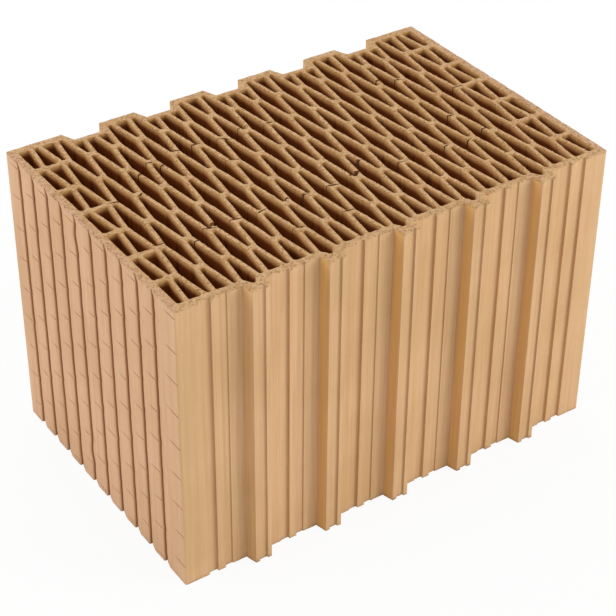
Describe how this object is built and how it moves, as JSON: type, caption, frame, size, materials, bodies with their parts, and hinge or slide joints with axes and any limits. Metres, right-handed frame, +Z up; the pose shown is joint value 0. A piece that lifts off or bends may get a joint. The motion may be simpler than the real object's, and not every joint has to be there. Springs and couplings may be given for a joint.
{
  "type": "hollow clay block",
  "caption": "Fired clay wall block with upright slot holes in a lattice, tongues and grooves on its head faces and keyed wall faces for plaster.",
  "frame": {"origin": "centre of the bottom of the block's box, on its lower bed face", "axes": "+X along the length, from keyed face to keyed face; +Y from the tongued head face to the grooved one; +Z up, along the holes"},
  "size_m": [0.38, 0.2566, 0.249],
  "materials": {
    "fired_clay": "matte"
  },
  "bodies": {
    "root": {"clay_block": "fired_clay"}
  },
  "joints": []
}
